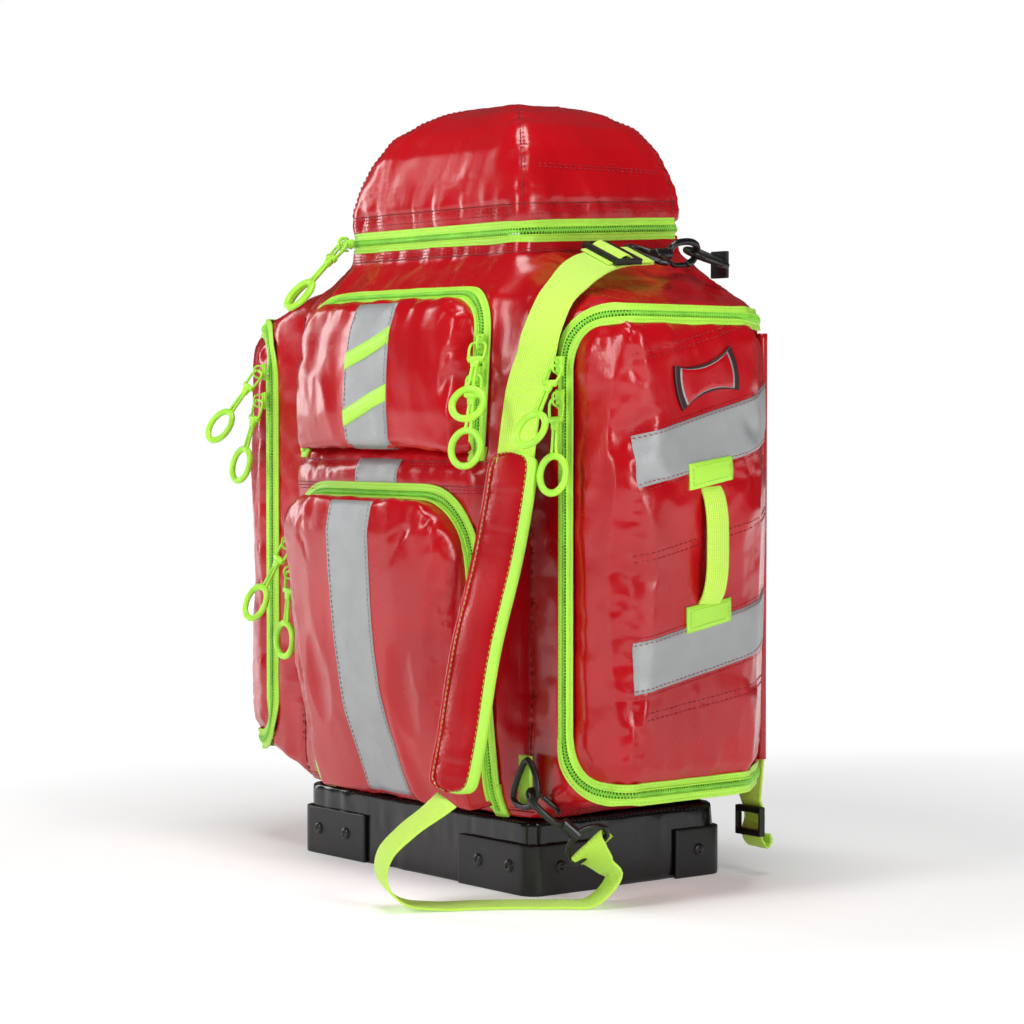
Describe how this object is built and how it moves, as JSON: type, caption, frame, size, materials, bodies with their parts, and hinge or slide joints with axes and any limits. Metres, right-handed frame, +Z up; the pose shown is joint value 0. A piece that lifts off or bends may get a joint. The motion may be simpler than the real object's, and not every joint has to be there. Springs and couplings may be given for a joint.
{
  "type": "trauma backpack",
  "caption": "Boxy responder backpack with a zipped hood, two front pockets, two zipped side pockets, a moulded tub base, back harness and clip-on shoulder sling.",
  "frame": {"origin": "centre of the base tub's underside", "axes": "+Z up; -Y out of the front pockets; +Y towards the wearer; +X to the side pocket that carries the sling"},
  "size_m": [0.548, 0.3835, 0.6297],
  "materials": {
    "red_coated": "glossy coated fabric",
    "lime_webbing": "woven fluorescent webbing and zipper tape",
    "lime_plastic": "moulded fluorescent plastic",
    "black_plastic": "fine moulded texture",
    "black_coated": "glossy coated fabric",
    "black_mesh": "spacer mesh and nylon",
    "grey_reflective": "retroreflective tape",
    "sheet_plastic": "smooth",
    "black_metal": "black oxide"
  },
  "bodies": {
    "root": {"body_shell": "red_coated", "zipper_hood": "lime_webbing", "zipper_upper_pocket": "lime_webbing", "zipper_lower_pocket": "lime_webbing", "zipper_side_left": "lime_webbing", "zipper_side_right": "lime_webbing", "base_tub": "black_coated", "corner_bumper_front_left": "black_plastic", "corner_bumper_front_right": "black_plastic", "corner_bumper_rear_left": "black_plastic", "corner_bumper_rear_right": "black_plastic", "back_panel": "black_mesh", "frame_sheet": "sheet_plastic", "main_divider": "black_mesh", "harness_strap_left": "black_mesh", "harness_webbing_left": "lime_webbing", "ladder_lock_left": "black_plastic", "harness_strap_right": "black_mesh", "harness_webbing_right": "lime_webbing", "ladder_lock_right": "black_plastic", "haul_handle": "lime_webbing", "d_ring_upper": "black_plastic", "snap_hook_upper": "black_plastic", "d_ring_lower": "black_plastic", "snap_hook_lower": "black_plastic", "ring_tab_upper": "lime_webbing", "ring_tab_lower": "lime_webbing", "sling_webbing_upper": "lime_webbing", "sling_pad": "red_coated", "sling_webbing_lower": "lime_webbing", "tri_glide": "black_plastic"},
    "hood": {"hood_lid": "red_coated"},
    "upper_pocket": {"upper_pocket_panel": "red_coated"},
    "lower_pocket": {"lower_pocket_panel": "red_coated"},
    "left_pocket": {"side_pocket_panel_left": "red_coated", "grab_handle_left": "lime_webbing"},
    "right_pocket": {"side_pocket_panel_right": "red_coated", "grab_handle_right": "lime_webbing"},
    "slider_hood_front": {"slider_hood_front": "lime_plastic"},
    "pull_hood_front": {"pull_hood_front": "lime_plastic"},
    "slider_hood_left": {"slider_hood_left": "lime_plastic"},
    "pull_hood_left": {"pull_hood_left": "lime_plastic"},
    "slider_upper_pocket_high": {"slider_upper_pocket_high": "lime_plastic"},
    "pull_upper_pocket_high": {"pull_upper_pocket_high": "lime_plastic"},
    "slider_upper_pocket_low": {"slider_upper_pocket_low": "lime_plastic"},
    "pull_upper_pocket_low": {"pull_upper_pocket_low": "lime_plastic"},
    "slider_lower_pocket_high": {"slider_lower_pocket_high": "lime_plastic"},
    "pull_lower_pocket_high": {"pull_lower_pocket_high": "lime_plastic"},
    "slider_lower_pocket_low": {"slider_lower_pocket_low": "lime_plastic"},
    "pull_lower_pocket_low": {"pull_lower_pocket_low": "lime_plastic"},
    "slider_left_pocket_high": {"slider_left_pocket_high": "lime_plastic"},
    "pull_left_pocket_high": {"pull_left_pocket_high": "lime_plastic"},
    "slider_left_pocket_low": {"slider_left_pocket_low": "lime_plastic"},
    "pull_left_pocket_low": {"pull_left_pocket_low": "lime_plastic"},
    "slider_right_pocket_high": {"slider_right_pocket_high": "lime_plastic"},
    "pull_right_pocket_high": {"pull_right_pocket_high": "lime_plastic"},
    "slider_right_pocket_low": {"slider_right_pocket_low": "lime_plastic"},
    "pull_right_pocket_low": {"pull_right_pocket_low": "lime_plastic"},
    "gate_upper": {"hook_gate_upper": "black_plastic"},
    "gate_lower": {"hook_gate_lower": "black_plastic"}
  },
  "joints": [
    {"name": "hood_hinge", "type": "hinge", "parent": "root", "child": "hood", "pos_m": [0, 0.088, 0.529], "axis": [-1, 0, 0], "range_deg": [0, 100]},
    {"name": "upper_pocket_hinge", "type": "hinge", "parent": "root", "child": "upper_pocket", "pos_m": [0, -0.143, 0.345], "axis": [1, 0, 0], "range_deg": [0, 85]},
    {"name": "lower_pocket_hinge", "type": "hinge", "parent": "root", "child": "lower_pocket", "pos_m": [0, -0.121, 0.065], "axis": [1, 0, 0], "range_deg": [0, 80]},
    {"name": "left_pocket_hinge", "type": "hinge", "parent": "root", "child": "left_pocket", "pos_m": [-0.204, 0.093, 0.27], "axis": [0, 0, -1], "range_deg": [0, 105]},
    {"name": "right_pocket_hinge", "type": "hinge", "parent": "root", "child": "right_pocket", "pos_m": [0.204, 0.093, 0.27], "axis": [0, 0, 1], "range_deg": [0, 105]},
    {"name": "hood_front_slide", "type": "slide", "parent": "root", "child": "slider_hood_front", "axis": [1, 0, 0], "range_m": [0, 0.2]},
    {"name": "hood_front_pull", "type": "hinge", "parent": "slider_hood_front", "child": "pull_hood_front", "pos_m": [-0.10715, -0.09654, 0.519], "axis": [-0.9799, 0.098, 0.1737], "range_deg": [0, 85]},
    {"name": "hood_left_slide", "type": "slide", "parent": "root", "child": "slider_hood_left", "axis": [0, 0.9986, 0.053], "range_m": [0, 0.006]},
    {"name": "hood_left_pull", "type": "hinge", "parent": "slider_hood_left", "child": "pull_hood_left", "pos_m": [-0.13246, -0.07728, 0.52], "axis": [-0.798, 0.5985, 0.0698], "range_deg": [0, 85]},
    {"name": "upper_pocket_high_slide", "type": "slide", "parent": "root", "child": "slider_upper_pocket_high", "axis": [0, 0.0623, 0.9981], "range_m": [0, 0.006]},
    {"name": "upper_pocket_high_pull", "type": "hinge", "parent": "slider_upper_pocket_high", "child": "pull_upper_pocket_high", "pos_m": [0.12597, -0.13126, 0.43058], "axis": [-0.7983, -0.602, -0.0149], "range_deg": [0, 85]},
    {"name": "upper_pocket_low_slide", "type": "slide", "parent": "root", "child": "slider_upper_pocket_low", "axis": [0, 0.0623, 0.9981], "range_m": [-0.035, 0]},
    {"name": "upper_pocket_low_pull", "type": "hinge", "parent": "slider_upper_pocket_low", "child": "pull_upper_pocket_low", "pos_m": [0.12433, -0.13368, 0.40564], "axis": [-0.888, -0.459, 0.0286], "range_deg": [0, 28]},
    {"name": "lower_pocket_high_slide", "type": "slide", "parent": "root", "child": "slider_lower_pocket_high", "axis": [0, -0.1, 0.995], "range_m": [0, 0.006]},
    {"name": "lower_pocket_high_pull", "type": "hinge", "parent": "slider_lower_pocket_high", "child": "pull_lower_pocket_high", "pos_m": [-0.12598, -0.14102, 0.26707], "axis": [-0.7975, 0.5929, 0.1122], "range_deg": [0, 85]},
    {"name": "lower_pocket_low_slide", "type": "slide", "parent": "root", "child": "slider_lower_pocket_low", "axis": [0, -0.1, 0.995], "range_m": [-0.11, 0]},
    {"name": "lower_pocket_low_pull", "type": "hinge", "parent": "slider_lower_pocket_low", "child": "pull_lower_pocket_low", "pos_m": [-0.12598, -0.13882, 0.24207], "axis": [-0.7975, 0.5929, 0.1122], "range_deg": [0, 28]},
    {"name": "left_pocket_high_slide", "type": "slide", "parent": "root", "child": "slider_left_pocket_high", "axis": [0, 0, 1], "range_m": [0, 0.008]},
    {"name": "left_pocket_high_pull", "type": "hinge", "parent": "slider_left_pocket_high", "child": "pull_left_pocket_high", "pos_m": [-0.20778, -0.11606, 0.412], "axis": [-0.8658, 0.4976, 0.0523], "range_deg": [0, 85]},
    {"name": "left_pocket_low_slide", "type": "slide", "parent": "root", "child": "slider_left_pocket_low", "axis": [0, 0, 1], "range_m": [-0.19, 0]},
    {"name": "left_pocket_low_pull", "type": "hinge", "parent": "slider_left_pocket_low", "child": "pull_left_pocket_low", "pos_m": [-0.20778, -0.11606, 0.387], "axis": [-0.8658, 0.4976, 0.0523], "range_deg": [0, 28]},
    {"name": "right_pocket_high_slide", "type": "slide", "parent": "root", "child": "slider_right_pocket_high", "axis": [0, 0, 1], "range_m": [0, 0.006]},
    {"name": "right_pocket_high_pull", "type": "hinge", "parent": "slider_right_pocket_high", "child": "pull_right_pocket_high", "pos_m": [0.2049, -0.11723, 0.412], "axis": [-0.9684, -0.2496, 0], "range_deg": [0, 85]},
    {"name": "right_pocket_low_slide", "type": "slide", "parent": "root", "child": "slider_right_pocket_low", "axis": [0, 0, 1], "range_m": [-0.19, 0]},
    {"name": "right_pocket_low_pull", "type": "hinge", "parent": "slider_right_pocket_low", "child": "pull_right_pocket_low", "pos_m": [0.2049, -0.11723, 0.387], "axis": [-0.966, -0.249, -0.0698], "range_deg": [0, 28]},
    {"name": "gate_upper_spring", "type": "hinge", "parent": "root", "child": "gate_upper", "pos_m": [0.15553, 0.03975, 0.49703], "axis": [0.9228, 0.1626, -0.3492], "range_deg": [0, 14], "stiffness_Nm_per_rad": 0.05},
    {"name": "gate_lower_spring", "type": "hinge", "parent": "root", "child": "gate_lower", "pos_m": [0.18869, -0.10107, 0.06872], "axis": [0.6922, 0.2747, 0.6674], "range_deg": [0, 14], "stiffness_Nm_per_rad": 0.05}
  ]
}
